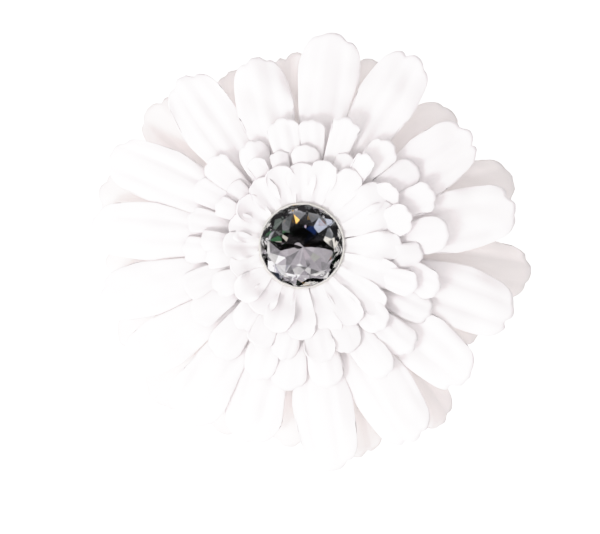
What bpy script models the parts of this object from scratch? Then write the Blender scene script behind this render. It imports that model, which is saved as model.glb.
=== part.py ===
"""A flower hair clip: five die-cut petal layers and a round gem, glued to a sprung metal clip.

Metres, +Z up. The clip lies on the plane z = 0 on the flat of its lower jaw and the end of its
lever, and the flower faces up. Z is the flower's axis, and the clip runs along X, tip towards +X.
"""

import math

import bmesh
import bpy
from mathutils import Matrix, Vector

MM = 0.001

# Clearance that is left between two pieces that touch.
GAP = 0.3

# The clip, in millimetres. Heights are above the plane that it lies on.
PIVOT_X = -9.0
PIVOT_Z = 5.9
SHEET_METAL = 0.7
PLATE_UNDERSIDE = 8.1
PLATE_HALF_WIDTH = 4.0
# The stretch of the plate that clamps the hair is pressed down by this much.
CLAMP_STEP = 0.1
CLAMP_START = -3.0
CLAMP_END = 13.5
PLATE_BACK = -22.5
PLATE_TIP = 25.0
EAR_THICKNESS = 0.7
EAR_RADIUS = 2.4
JAW_HALF_WIDTH = 3.0
JAW_EAR_THICKNESS = 0.6
JAW_EAR_RADIUS = 1.85
RAMP_HEIGHT = 3.0
JAW_FLAT_END = 12.0
JAW_TIP = 24.0
JAW_TIP_HEIGHT = 5.4
TOOTH_TOP = PLATE_UNDERSIDE - GAP
TOOTH_HEIGHT = 1.1
TEETH = 5
TEETH_LENGTH = 8.0
PIN_RADIUS = 0.8
PIN_HOLE_RADIUS = 1.1
PIN_HEAD_RADIUS = 1.5
PIN_HEAD = 0.5
WIRE_RADIUS = 0.35
COIL_RADIUS = 1.55
COIL_TURNS = 3.5
COIL_PITCH = 0.875
SPRING_LEG = 9.0

# The stack on the clip, each piece's underside and top.
CLIP_GLUE = (9.1, 9.5)
FELT = (9.8, 11.0)
FELT_RADIUS = 17.0
FELT_GLUE = (11.3, 11.7)
CAP = (12.0, 13.2)
CAP_RADIUS = 7.5
PEG_FOOT = 12.3
PEG_RADIUS = 1.7
LAYER_HOLE = 2.1
FLANGE = (17.0, 17.5)
FLANGE_RADIUS = 6.5
GEM_GLUE_FOOT = 17.8
GEM_GLUE_RADIUS = 6.6
FOIL_THICKNESS = 0.2
FOIL_RADIUS = 9.0

# The gem: a shallow pointed back, a short girdle and an eight-fold crown.
CULET = 18.7
PAVILION = 2.2
GIRDLE = 0.5
CROWN = 2.1
GEM_RADIUS = 9.35
TABLE_RADIUS = 5.0
BEZEL_RADIUS = 7.6
BEZEL_SHARE = 0.48
GEM_TURN = 14.0

# The petal layers. A layer is one sheet, so its petals lie side by side.
CLOTH = 0.4
OUTER_HUB = 11.0
CUP_HUB = 7.5
# Each petal's direction in degrees from +X, and its tip's distance from the axis.
BACK_PETALS = [
    (19, 52.0), (43, 47.2), (70, 46.5), (91, 45.0), (114, 44.0), (135.5, 48.2), (162, 49.0),
    (185, 45.8), (206, 47.8), (226, 49.9), (246, 47.5), (266, 47.0), (286, 51.3), (309, 53.2),
    (333, 46.0), (353, 54.3),
]
FRONT_PETALS = [
    (8, 49.9), (31.5, 46.6), (60.5, 50.8), (81, 49.3), (105, 44.4), (128, 47.3), (152, 48.5),
    (174, 48.5), (196, 47.5), (216, 48.5), (235, 48.5), (254, 46.6), (277, 52.0), (299, 52.0),
    (322, 48.8), (343.5, 51.0),
]
OUTER_WIDTH = 12.4
# Each layer's top is z = start + slope * s - bend * s * s, where s is the distance past its hub.
# All but the back one also climb a wall just past the hub, and the cup a softer rise further out.
LAYERS = {
    "petals_outer_back": {"start": 13.9, "wall": 0.0, "slope": 0.16, "bend": 0.0088, "rise": 0.0},
    "petals_outer_front": {"start": 14.6, "wall": 1.0, "slope": 0.20, "bend": 0.0052, "rise": 0.0},
    "petals_middle_lower": {"start": 15.3, "wall": 1.6, "slope": 0.34, "bend": 0.0068, "rise": 0.0},
    "petals_middle_upper": {"start": 16.0, "wall": 2.0, "slope": 0.50, "bend": 0.0125, "rise": 0.0},
    "petals_inner_cup": {"start": 16.7, "wall": 3.7, "slope": 0.03, "bend": 0.0, "rise": 2.2},
}
WALL_RUN = 0.9
RISE_FROM = 11.5
RISE_TO = 18.5
# Along a petal from its root to its tip: share of the length, and share of the greatest width.
LONG_PETAL = [(0.25, 0.66), (0.52, 0.90), (0.78, 1.0), (0.93, 0.80)]
SHORT_PETAL = [(0.40, 0.85), (0.84, 1.0)]
CUP_PETAL = [
    (0.07, 0.40), (0.15, 0.46), (0.31, 0.58), (0.46, 0.70), (0.60, 0.82), (0.74, 0.94), (0.87, 1.0),
]
TIP_WIDTH = 0.45
TIP_SETBACK = 0.03


def clear_scene():
    for old in list(bpy.data.objects):
        bpy.data.objects.remove(old)


def material(name, colour, roughness, metallic=0.0):
    made = bpy.data.materials.new(name)
    made.use_nodes = True
    shader = made.node_tree.nodes["Principled BSDF"]
    shader.inputs["Base Color"].default_value = (*colour, 1.0)
    shader.inputs["Roughness"].default_value = roughness
    shader.inputs["Metallic"].default_value = metallic
    return made


def object_from(bm, name, finish, smooth=False):
    """A new object from a bmesh in millimetres."""
    bmesh.ops.scale(bm, vec=(MM, MM, MM), verts=bm.verts)
    mesh = bpy.data.meshes.new(name)
    bm.to_mesh(mesh)
    bm.free()
    mesh.materials.append(finish)
    if smooth:
        mesh.shade_smooth()
        mesh.set_sharp_from_angle(angle=math.radians(35))
    made = bpy.data.objects.new(name, mesh)
    bpy.context.scene.collection.objects.link(made)
    return made


def prism(name, outline, axis, low, high, finish):
    """An outline of (x, y) points pushed along Z, or of (x, z) points pushed along Y."""
    bm = bmesh.new()
    if axis == "Z":
        corners = [bm.verts.new((x, y, low)) for x, y in outline]
        push = Vector((0, 0, high - low))
    else:
        corners = [bm.verts.new((x, low, z)) for x, z in outline]
        push = Vector((0, high - low, 0))
    face = bm.faces.new(corners)
    pushed = bmesh.ops.extrude_face_region(bm, geom=[face])
    moved = [v for v in pushed["geom"] if isinstance(v, bmesh.types.BMVert)]
    bmesh.ops.translate(bm, vec=push, verts=moved)
    bmesh.ops.recalc_face_normals(bm, faces=bm.faces)
    return object_from(bm, name, finish)


def turned(name, profile, finish, steps=32, ring=False):
    """A shape turned about Z from a profile of (radius, z) points."""
    bm = bmesh.new()
    points = [bm.verts.new((r, 0, z)) for r, z in profile]
    edges = [bm.edges.new(pair) for pair in zip(points, points[1:])]
    if ring:
        edges.append(bm.edges.new((points[-1], points[0])))
    bmesh.ops.spin(
        bm, geom=points + edges, cent=(0, 0, 0), axis=(0, 0, 1), angle=math.tau, steps=steps
    )
    bmesh.ops.remove_doubles(bm, verts=bm.verts, dist=0.001)
    bmesh.ops.recalc_face_normals(bm, faces=bm.faces)
    return object_from(bm, name, finish, smooth=True)


def combine(target, tool, operation):
    """Joins tool to target, or cuts it away, and leaves tool as a hidden guide."""
    boolean = target.modifiers.new(tool.name, "BOOLEAN")
    boolean.operation = operation
    boolean.object = tool
    tool.hide_render = True
    tool.display_type = "WIRE"


def origin_at_pivot(made):
    """Puts the object's origin on the hinge line without moving its shape."""
    pivot = Vector((PIVOT_X * MM, 0, PIVOT_Z * MM))
    made.data.transform(Matrix.Translation(-pivot))
    made.location = pivot


def arc(centre, radius, start, end, steps):
    """Points on an arc, in degrees counter-clockwise."""
    turn = [math.radians(start + (end - start) * i / steps) for i in range(steps + 1)]
    return [(centre[0] + radius * math.cos(t), centre[1] + radius * math.sin(t)) for t in turn]


def ring_of_petals(count, first, reach, aside):
    """Petals around a ring whose tips lie on a circle set a little to one side of the hub."""
    petals = []
    for i in range(count):
        turn = math.radians(first + 360 * i / count)
        extra = aside[0] * math.cos(turn) + aside[1] * math.sin(turn)
        petals.append((math.degrees(turn), reach + extra))
    return petals


def layer_height(layer, hub, radius):
    past = max(0.0, radius - hub)
    climb = layer["wall"] * (1 - math.exp(-past / WALL_RUN))
    share = min(1.0, max(0.0, (radius - RISE_FROM) / (RISE_TO - RISE_FROM)))
    climb += layer["rise"] * share * share * (3 - 2 * share)
    return layer["start"] + climb + layer["slope"] * past - layer["bend"] * past * past


def petal_layer(name, petals, hub, width, shape, finish):
    """One die-cut sheet: a hub with a hole, and petals three points across."""
    bm = bmesh.new()
    closest = min((b[0] - a[0]) % 360 for a, b in zip(petals, petals[1:] + petals[:1]))
    room = math.tan(math.radians(closest / 2)) * 0.93
    root_turn = math.radians(closest * 0.4)

    def vertex(radius, turn, across=0.0):
        x = radius * math.cos(turn) - across * math.sin(turn)
        y = radius * math.sin(turn) + across * math.cos(turn)
        return bm.verts.new((x, y, layer_height(LAYERS[name], hub, math.hypot(x, y))))

    inner, outer = [], []
    for degrees, reach in petals:
        turn = math.radians(degrees)
        root = []
        for step in (-1, 0, 1):
            inner.append(vertex(LAYER_HOLE, turn + step * root_turn))
            root.append(vertex(hub, turn + step * root_turn))
        outer += root
        row = root
        length = reach - hub
        stations = [(hub + share * length, wide) for share, wide in shape]
        for radius, wide in stations + [(reach, TIP_WIDTH)]:
            half = min(wide * width / 2, room * radius)
            back = TIP_SETBACK * length if radius == reach else 0.0
            new = [vertex(radius - abs(s) * back, turn, s * half) for s in (-1, 0, 1)]
            for i in (0, 1):
                bm.faces.new((row[i], new[i], new[i + 1], row[i + 1]))
            row = new
    for i, here in enumerate(inner):
        after = (i + 1) % len(inner)
        bm.faces.new((here, outer[i], outer[after], inner[after]))
    made = object_from(bm, name, finish, smooth=True)
    solid = made.modifiers.new("Cloth", "SOLIDIFY")
    solid.thickness = CLOTH * MM
    solid.offset = -1.0
    return made


def flower(cloth):
    petal_layer("petals_outer_back", BACK_PETALS, OUTER_HUB, OUTER_WIDTH, LONG_PETAL, cloth)
    petal_layer("petals_outer_front", FRONT_PETALS, OUTER_HUB, OUTER_WIDTH, LONG_PETAL, cloth)
    lower = ring_of_petals(22, 3, 30.8, (2.6, -2.0))
    petal_layer("petals_middle_lower", lower, OUTER_HUB, 8.4, SHORT_PETAL, cloth)
    upper = ring_of_petals(20, 12, 24.4, (2.0, -1.6))
    petal_layer("petals_middle_upper", upper, OUTER_HUB, 7.0, SHORT_PETAL, cloth)
    cup = ring_of_petals(20, 0.5, 20.0, (2.8, -0.6))
    petal_layer("petals_inner_cup", cup, CUP_HUB, 5.6, CUP_PETAL, cloth)


def centre_fixings(plastic, glue, felt):
    flange_low, flange_high = FLANGE
    peg = [
        (0, flange_high),
        (FLANGE_RADIUS - 0.4, flange_high),
        (FLANGE_RADIUS, flange_high - 0.4),
        (FLANGE_RADIUS, flange_low),
        (PEG_RADIUS, flange_low),
        (PEG_RADIUS, PEG_FOOT + 0.3),
        (PEG_RADIUS - 0.3, PEG_FOOT),
        (0, PEG_FOOT),
    ]
    turned("centre_peg", peg, plastic, steps=24)
    cap_low, cap_high = CAP
    cap = [
        (CAP_RADIUS - 0.5, cap_high),
        (CAP_RADIUS, cap_high - 0.5),
        (CAP_RADIUS, cap_low),
        (PEG_RADIUS + GAP, cap_low),
        (PEG_RADIUS + GAP, cap_high),
    ]
    turned("back_cap", cap, plastic, steps=28, ring=True)
    dish = GAP * 2 + FOIL_THICKNESS
    pad = [
        (0, CULET - dish),
        (GEM_GLUE_RADIUS, pavilion_height(GEM_GLUE_RADIUS) - dish),
        (GEM_GLUE_RADIUS, GEM_GLUE_FOOT + 0.4),
        (GEM_GLUE_RADIUS - 0.4, GEM_GLUE_FOOT),
        (0, GEM_GLUE_FOOT),
    ]
    turned("gem_glue", pad, glue, steps=28)
    disc("felt_glue", 6.8, FELT_GLUE, glue)
    disc("felt_disc", FELT_RADIUS, FELT, felt, steps=40)
    bed = arc((11.0, 0), 3.2, -90, 90, 6) + arc((-11.0, 0), 3.2, 90, 270, 6)
    prism("clip_glue", bed, "Z", *CLIP_GLUE, glue)


def disc(name, radius, heights, finish, steps=28):
    low, high = heights
    edge = (high - low) * 0.3
    profile = [(0, high), (radius - edge, high), (radius, high - edge), (radius, low), (0, low)]
    return turned(name, profile, finish, steps)


def pavilion_height(radius):
    """Height of the gem's pointed back at a distance from the axis."""
    return CULET + PAVILION * radius / GEM_RADIUS


def gem(clear, foil):
    inside = GAP + FOIL_THICKNESS
    coat = [
        (0, CULET - GAP),
        (FOIL_RADIUS, pavilion_height(FOIL_RADIUS) - GAP),
        (FOIL_RADIUS, pavilion_height(FOIL_RADIUS) - inside),
        (0, CULET - inside),
    ]
    turned("gem_foil", coat, foil, steps=32)
    low = CULET + PAVILION
    high = low + GIRDLE
    rings = [
        (1, 0.0, CULET, 0.0),
        (16, GEM_RADIUS, low, 0.0),
        (16, GEM_RADIUS, high, 0.0),
        (8, BEZEL_RADIUS, high + CROWN * BEZEL_SHARE, 0.5),
        (8, TABLE_RADIUS, high + CROWN, 0.0),
    ]
    bm = bmesh.new()
    for count, radius, z, shift in rings:
        for i in range(count):
            turn = math.radians(GEM_TURN) + math.tau * (i + shift) / count
            bm.verts.new((radius * math.cos(turn), radius * math.sin(turn), z))
    bmesh.ops.convex_hull(bm, input=bm.verts)
    object_from(bm, "gem", clear)


def strip(name, stations, thickness, finish):
    """A bent strip of metal from stations of (x, underside z, half width)."""
    bm = bmesh.new()
    rows = []
    for x, z, half in stations:
        ends = [(-half, z), (half, z), (half, z + thickness), (-half, z + thickness)]
        rows.append([bm.verts.new((x, y, height)) for y, height in ends])
    for a, b in zip(rows, rows[1:]):
        for i in range(4):
            bm.faces.new((a[i], a[(i + 1) % 4], b[(i + 1) % 4], b[i]))
    bm.faces.new(rows[0])
    bm.faces.new(rows[-1])
    bmesh.ops.recalc_face_normals(bm, faces=bm.faces)
    return object_from(bm, name, finish)


def pin_hole():
    """A guide through every ear, along the hinge line."""
    outline = arc((PIVOT_X, PIVOT_Z), PIN_HOLE_RADIUS, 0, 330, 11)
    hole = prism("pin_hole_guide", outline, "Y", -6.0, 6.0, None)
    hole.hide_render = True
    hole.display_type = "WIRE"
    return hole


def top_plate(metal, hole):
    half = PLATE_HALF_WIDTH
    level = PLATE_UNDERSIDE
    clamp = level - CLAMP_STEP
    stations = [
        (PLATE_BACK, level, half - 2.4), (PLATE_BACK + 0.7, level, half - 1.0),
        (PLATE_BACK + 2.2, level, half), (CLAMP_START - 0.5, level, half),
        (CLAMP_START, clamp, half), (CLAMP_END, clamp, half), (CLAMP_END + 0.5, level, half),
        (PLATE_TIP - 4.0, level, half), (PLATE_TIP - 1.2, level, half - 1.2),
        (PLATE_TIP, level, half - 2.6),
    ]
    plate = strip("clip_top_plate", stations, SHEET_METAL, metal)
    middle = PLATE_UNDERSIDE + SHEET_METAL / 2
    side = [(PIVOT_X + 4.0, middle), (PIVOT_X - 4.0, middle), (PIVOT_X - 4.0, 7.0)]
    side += arc((PIVOT_X, PIVOT_Z), EAR_RADIUS, 190, 350, 8)
    side += [(PIVOT_X + 4.0, 7.0)]
    for name, sign in (("left", 1), ("right", -1)):
        near = sign * (half - EAR_THICKNESS)
        ear = prism(f"{name}_plate_ear_guide", side, "Y", near, sign * half, metal)
        combine(plate, ear, "UNION")
    combine(plate, hole, "DIFFERENCE")


def jaw_underside(x):
    """Height of the lower jaw's underside in front of its flat stretch."""
    return max(0.0, (x - JAW_FLAT_END) * JAW_TIP_HEIGHT / (JAW_TIP - JAW_FLAT_END))


def lower_jaw(metal, hole):
    stations = [
        (-22.5, 0.0, 2.0), (-21.8, 0.2, 3.0), (-20.5, 0.55, 3.6), (-16.0, 1.85, 3.6),
        (-14.5, 2.3, JAW_HALF_WIDTH), (-12.0, RAMP_HEIGHT, JAW_HALF_WIDTH),
        (-7.0, RAMP_HEIGHT, JAW_HALF_WIDTH), (-3.0, 0.0, JAW_HALF_WIDTH),
        (JAW_FLAT_END, 0.0, JAW_HALF_WIDTH), (JAW_TIP, JAW_TIP_HEIGHT, JAW_HALF_WIDTH),
        (JAW_TIP + 0.7, JAW_TIP_HEIGHT + 0.2, JAW_HALF_WIDTH - 0.5),
    ]
    jaw = strip("clip_lower_jaw", stations, SHEET_METAL, metal)
    ear = [(PIVOT_X - 2.8, RAMP_HEIGHT + 0.3), (PIVOT_X + 1.9, RAMP_HEIGHT + 0.3)]
    ear += arc((PIVOT_X, PIVOT_Z), JAW_EAR_RADIUS, -10, 190, 10)
    pitch = TEETH_LENGTH / TEETH
    rail_start = JAW_TIP - TEETH_LENGTH - 0.8
    rail = [(JAW_TIP, jaw_underside(JAW_TIP) + 0.3), (JAW_TIP, TOOTH_TOP)]
    for i in range(TEETH):
        x = JAW_TIP - pitch * i
        rail += [(x - pitch / 2, TOOTH_TOP - TOOTH_HEIGHT), (x - pitch, TOOTH_TOP)]
    rail += [(rail_start, jaw_underside(rail_start) + 0.3)]
    for name, sign in (("left", 1), ("right", -1)):
        near = sign * (JAW_HALF_WIDTH - JAW_EAR_THICKNESS)
        for word, side in (("ear", ear), ("teeth", rail)):
            guide_name = f"{name}_jaw_{word}_guide"
            guide = prism(guide_name, side, "Y", near, sign * JAW_HALF_WIDTH, metal)
            combine(jaw, guide, "UNION")
    combine(jaw, hole, "DIFFERENCE")
    origin_at_pivot(jaw)


def pivot_pin(metal):
    end = PLATE_HALF_WIDTH + GAP + PIN_HEAD
    inside = end - PIN_HEAD
    profile = [
        (0, end), (PIN_HEAD_RADIUS - 0.25, end), (PIN_HEAD_RADIUS, end - 0.25),
        (PIN_HEAD_RADIUS, inside), (PIN_RADIUS, inside), (PIN_RADIUS, -inside),
        (PIN_HEAD_RADIUS, -inside), (PIN_HEAD_RADIUS, 0.25 - end),
        (PIN_HEAD_RADIUS - 0.25, -end), (0, -end),
    ]
    pin = turned("clip_pivot_pin", profile, metal, steps=12)
    pin.rotation_euler = (math.radians(90), 0, 0)
    pin.location = (PIVOT_X * MM, 0, PIVOT_Z * MM)


def torsion_spring(metal):
    """A leg under the plate, a coil round the pin, and a leg that pushes the lever away."""
    top = PIVOT_Z + COIL_RADIUS
    first_y = -COIL_TURNS * COIL_PITCH / 2
    points = [(PIVOT_X - SPRING_LEG, first_y, top), (PIVOT_X - SPRING_LEG / 2, first_y, top)]
    steps = round(COIL_TURNS * 10)
    for i in range(steps + 1):
        turn = math.radians(90 - 36 * i)
        x = PIVOT_X + COIL_RADIUS * math.cos(turn)
        z = PIVOT_Z + COIL_RADIUS * math.sin(turn)
        points.append((x, first_y + COIL_PITCH * i / 10, z))
    bottom = PIVOT_Z - COIL_RADIUS
    points.append((PIVOT_X - 2.6, -first_y, bottom))
    points.append((PIVOT_X - 5.6, -first_y, bottom - 0.8))
    points.append((PIVOT_X - SPRING_LEG, -first_y, bottom - 1.8))
    curve = bpy.data.curves.new("clip_spring", "CURVE")
    curve.dimensions = "3D"
    curve.bevel_depth = WIRE_RADIUS * MM
    curve.bevel_resolution = 1
    curve.use_fill_caps = True
    wire = curve.splines.new("POLY")
    wire.points.add(len(points) - 1)
    for point, (x, y, z) in zip(wire.points, points):
        point.co = (x * MM, y * MM, z * MM, 1.0)
    curve.materials.append(metal)
    spring = bpy.data.objects.new("clip_spring", curve)
    bpy.context.scene.collection.objects.link(spring)


def main():
    clear_scene()
    cloth = material("petal_cloth", (0.93, 0.92, 0.94), 0.8)
    plastic = material("white_plastic", (0.88, 0.88, 0.86), 0.4)
    glue = material("set_glue", (0.85, 0.82, 0.72), 0.3)
    felt = material("white_felt", (0.9, 0.9, 0.88), 0.95)
    clear = material("clear_gem", (0.5, 0.5, 0.55), 0.05)
    foil = material("mirror_foil", (0.7, 0.7, 0.72), 0.1, metallic=1.0)
    steel = material("plated_steel", (0.72, 0.72, 0.73), 0.25, metallic=1.0)
    wire = material("spring_steel", (0.6, 0.6, 0.6), 0.3, metallic=1.0)
    flower(cloth)
    centre_fixings(plastic, glue, felt)
    gem(clear, foil)
    hole = pin_hole()
    top_plate(steel, hole)
    lower_jaw(steel, hole)
    pivot_pin(steel)
    torsion_spring(wire)


main()
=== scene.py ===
"""A layered white cloth flower with a faceted crystal, on a sprung hair clip.

All sizes below are in millimetres in the part's own frame: +Z is the flower's axis, the clip runs
along X and its mouth opens at +X.
"""

import math
import random

import bmesh
import bpy
from mathutils import Matrix, Vector, noise


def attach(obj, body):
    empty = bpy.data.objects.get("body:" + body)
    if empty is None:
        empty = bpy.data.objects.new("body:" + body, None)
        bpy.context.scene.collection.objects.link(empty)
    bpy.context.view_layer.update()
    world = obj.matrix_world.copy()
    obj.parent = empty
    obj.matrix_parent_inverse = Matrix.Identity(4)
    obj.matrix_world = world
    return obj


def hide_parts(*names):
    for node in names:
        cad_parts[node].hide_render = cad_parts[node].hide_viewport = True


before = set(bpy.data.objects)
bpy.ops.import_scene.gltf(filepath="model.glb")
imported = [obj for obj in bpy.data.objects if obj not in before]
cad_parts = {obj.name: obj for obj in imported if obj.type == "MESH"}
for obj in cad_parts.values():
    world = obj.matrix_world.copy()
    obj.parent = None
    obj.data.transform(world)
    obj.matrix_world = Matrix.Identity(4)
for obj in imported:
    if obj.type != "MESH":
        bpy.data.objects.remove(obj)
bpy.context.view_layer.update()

MM = 0.001

# The stack of layers, which follows the part's. Each is at z = start + slope * s - bend * s * s,
# where s is the distance past its hub. All but the back one also climb a short wall just past the
# hub, and the cup has a softer rise further out.
LAYER_HOLE = 2.1
OUTER_HUB = 11.0
CUP_HUB = 7.5
WALL_RUN = 0.9
RISE_FROM = 11.5
RISE_TO = 18.5
CLOTH = 0.28
BACK_PETALS = [
    (19, 52.0),
    (43, 47.2),
    (70, 46.5),
    (91, 45.0),
    (114, 44.0),
    (135.5, 48.2),
    (162, 49.0),
    (185, 45.8),
    (206, 47.8),
    (226, 49.9),
    (246, 47.5),
    (266, 47.0),
    (286, 51.3),
    (309, 53.2),
    (333, 46.0),
    (353, 54.3),
]
FRONT_PETALS = [
    (8, 49.9),
    (31.5, 46.6),
    (60.5, 50.8),
    (81, 49.3),
    (105, 44.4),
    (128, 47.3),
    (152, 48.5),
    (174, 48.5),
    (196, 47.5),
    (216, 48.5),
    (235, 48.5),
    (254, 46.6),
    (277, 52.0),
    (299, 52.0),
    (322, 48.8),
    (343.5, 51.0),
]


def smooth_step(value, low=0.0, high=1.0):
    share = min(1.0, max(0.0, (value - low) / (high - low)))
    return share * share * (3 - 2 * share)


# ---------------------------------------------------------------- meshes


def piece_from(name, points, faces, body, finish, smooth=True):
    """A mesh piece given in millimetres, riding on a body of the part."""
    mesh = bpy.data.meshes.new(name)
    mesh.from_pydata([Vector(p) * MM for p in points], [], faces)
    mesh.validate()
    bm = bmesh.new()
    bm.from_mesh(mesh)
    bmesh.ops.remove_doubles(bm, verts=bm.verts, dist=1e-7)
    bmesh.ops.recalc_face_normals(bm, faces=bm.faces)
    for face in bm.faces:
        face.smooth = smooth
    bm.to_mesh(mesh)
    bm.free()
    mesh.materials.append(finish)
    piece = bpy.data.objects.new(name, mesh)
    bpy.context.scene.collection.objects.link(piece)
    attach(piece, body)
    return piece


def lathe(profile, steps):
    """Points and faces of a closed profile [(radius, z), ...] turned about Z."""
    points = []
    faces = []
    count = len(profile)
    for i in range(steps):
        turn = math.tau * i / steps
        for radius, z in profile:
            points.append((radius * math.cos(turn), radius * math.sin(turn), z))
    for i in range(steps):
        here = i * count
        there = ((i + 1) % steps) * count
        for j in range(count):
            k = (j + 1) % count
            faces.append((here + j, there + j, there + k, here + k))
    return points, faces


TUBE_SIDES = 12
DOME_LENGTH = 0.7
DOME_SCALE = 0.55


def tube(path, radius):
    """Points and faces of a round wire along a path, with domed ends."""
    path = [Vector(p) for p in path]
    frames = []
    side = Vector((0, 0, 1))
    for i, here in enumerate(path):
        before = path[max(0, i - 1)]
        after = path[min(len(path) - 1, i + 1)]
        along = (after - before).normalized()
        side = side - along * side.dot(along)
        if side.length < 1e-6:
            side = along.orthogonal()
        side.normalize()
        frames.append((here, along, side.copy()))
    rings = [(here, along, side, 1.0) for here, along, side in frames]
    start, along, side = frames[0]
    rings.insert(0, (start - along * radius * DOME_LENGTH, along, side, DOME_SCALE))
    end, along, side = frames[-1]
    rings.append((end + along * radius * DOME_LENGTH, along, side, DOME_SCALE))
    points = []
    for here, along, side, scale in rings:
        other = along.cross(side)
        for k in range(TUBE_SIDES):
            turn = math.tau * k / TUBE_SIDES
            offset = side * math.cos(turn) + other * math.sin(turn)
            points.append(here + offset * radius * scale)
    return points, skin(len(rings), TUBE_SIDES)


def skin(rows, loop):
    """Faces round closed loops of points laid one after the other, with a cap at each end."""
    faces = []
    for i in range(rows - 1):
        for k in range(loop):
            m = (k + 1) % loop
            faces.append((i * loop + k, i * loop + m, (i + 1) * loop + m, (i + 1) * loop + k))
    faces.append(tuple(range(loop)))
    faces.append(tuple(reversed(range((rows - 1) * loop, rows * loop))))
    return faces


def join_parts(parts):
    """One point and face list out of several closed ones."""
    points = []
    faces = []
    for more_points, more_faces in parts:
        shift = len(points)
        points += [tuple(p) for p in more_points]
        faces += [tuple(i + shift for i in face) for face in more_faces]
    return points, faces


def add_bevel(piece, width):
    bevel = piece.modifiers.new("rounded edges", "BEVEL")
    bevel.width = width * MM
    bevel.segments = 2
    bevel.limit_method = "ANGLE"
    bevel.angle_limit = math.radians(35)


# ---------------------------------------------------------------- materials


class Nodes:
    """Short helpers for building a node tree."""

    def __init__(self, tree):
        self.nodes = tree.nodes
        self.links = tree.links
        self.place = None

    def add(self, kind, inputs=None, **settings):
        node = self.nodes.new(kind)
        for name, value in settings.items():
            setattr(node, name, value)
        for name, value in (inputs or {}).items():
            if isinstance(value, bpy.types.NodeSocket):
                self.links.new(value, node.inputs[name])
            else:
                node.inputs[name].default_value = value
        return node

    def noise(self, scale, detail=2.0, rough=0.5, place=None):
        inputs = {"Vector": place or self.place, "Scale": scale, "Detail": detail, "Roughness": rough}
        return self.add("ShaderNodeTexNoise", inputs).outputs["Fac"]

    def ramp(self, value, stops):
        node = self.add("ShaderNodeValToRGB", {"Fac": value})
        elements = node.color_ramp.elements
        while len(elements) < len(stops):
            elements.new(0.5)
        for element, (position, color) in zip(elements, stops):
            element.position = position
            element.color = (*color, 1)
        return node.outputs["Color"]

    def math(self, operation, first, second=0.5):
        node = self.nodes.new("ShaderNodeMath")
        node.operation = operation
        for slot, value in enumerate((first, second)):
            if isinstance(value, bpy.types.NodeSocket):
                self.links.new(value, node.inputs[slot])
            else:
                node.inputs[slot].default_value = value
        return node.outputs[0]

    def mix(self, factor, first, second, blend="MIX"):
        node = self.add("ShaderNodeMix", data_type="RGBA", blend_type=blend)
        for slot, value in ((0, factor), (6, first), (7, second)):
            if isinstance(value, bpy.types.NodeSocket):
                self.links.new(value, node.inputs[slot])
            elif slot:
                node.inputs[slot].default_value = (*value, 1)
            else:
                node.inputs[slot].default_value = value
        return node.outputs[2]

    def bump(self, height, strength, distance, normal=None):
        inputs = {"Height": height, "Strength": strength, "Distance": distance}
        if normal is not None:
            inputs["Normal"] = normal
        return self.add("ShaderNodeBump", inputs).outputs["Normal"]


class Shader(Nodes):
    """A node material around one Principled shader."""

    def __init__(self, name):
        self.material = bpy.data.materials.new(name)
        self.material.use_nodes = True
        super().__init__(self.material.node_tree)
        self.base = self.nodes["Principled BSDF"]
        self.output = self.nodes["Material Output"]
        self.place = self.nodes.new("ShaderNodeTexCoord").outputs["Object"]

    def constant(self, **values):
        for name, value in values.items():
            self.base.inputs[name.replace("_", " ")].default_value = value

    def color(self, socket):
        self.links.new(socket, self.base.inputs["Base Color"])

    def roughness(self, socket):
        self.links.new(socket, self.base.inputs["Roughness"])

    def normal(self, socket):
        self.links.new(socket, self.base.inputs["Normal"])


THREAD_PITCH = 0.42
SHINES_THROUGH = 0.28


def cloth_finish(name, shade):
    """Fine woven polyester, bleached white, a little translucent. Painted shade darkens its grooves
    and cut edges, and shade is a painted shade tint over all of it.
    """
    s = Shader(name)
    s.constant(Sheen_Weight=0.12, Sheen_Roughness=0.5, Specular_IOR_Level=0.2, Roughness=0.8)
    apart = s.add("ShaderNodeSeparateXYZ", {"Vector": s.place})
    threads = []
    for axis in ("X", "Y"):
        wave = s.math("MULTIPLY", apart.outputs[axis], math.tau / (THREAD_PITCH * MM))
        threads.append(s.math("SINE", wave))
    weave = s.math("MULTIPLY", threads[0], threads[1])
    weave = s.math("ADD", weave, s.noise(2200, 3, 0.6))
    # Painted shade: a mask carried on the mesh that greys the cloth along its grooves and at its cut
    # edges.
    crease_shade = s.add("ShaderNodeAttribute", attribute_name="crease_shade").outputs["Fac"]
    cloudy = s.noise(55, 3, 0.55)
    body_tone = s.ramp(cloudy, [(0.3, (0.965, 0.94, 0.938)), (0.7, (0.97, 0.952, 0.944))])
    # Painted shade: the grooves and cut edges are mixed towards this grey.
    tone_with_painted_shade = s.mix(crease_shade, body_tone, (0.85, 0.82, 0.83))
    # Painted shade: the tint shade is multiplied over the whole cloth. The back layer's copy is
    # darker, for the shade between the front petals.
    s.color(s.mix(1.0, tone_with_painted_shade, shade, "MULTIPLY"))
    s.normal(s.bump(weave, 0.28, 0.00005, s.bump(s.noise(420, 3, 0.6), 0.25, 0.00025)))
    through = s.add("ShaderNodeBsdfTranslucent", {"Color": (0.93, 0.92, 0.93, 1)})
    both = s.add("ShaderNodeMixShader", {"Fac": SHINES_THROUGH})
    s.links.new(s.base.outputs[0], both.inputs[1])
    s.links.new(through.outputs[0], both.inputs[2])
    s.links.new(both.outputs[0], s.output.inputs["Surface"])
    return s.material


def felt_finish():
    s = Shader("white felt")
    s.constant(Sheen_Weight=0.35, Sheen_Roughness=0.6, Specular_IOR_Level=0.1, Roughness=0.95)
    fibres = s.noise(1400, 6, 0.75)
    s.color(s.ramp(fibres, [(0.3, (0.74, 0.73, 0.72)), (0.7, (0.9, 0.89, 0.88))]))
    s.normal(s.bump(fibres, 0.7, 0.0002))
    return s.material


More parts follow.
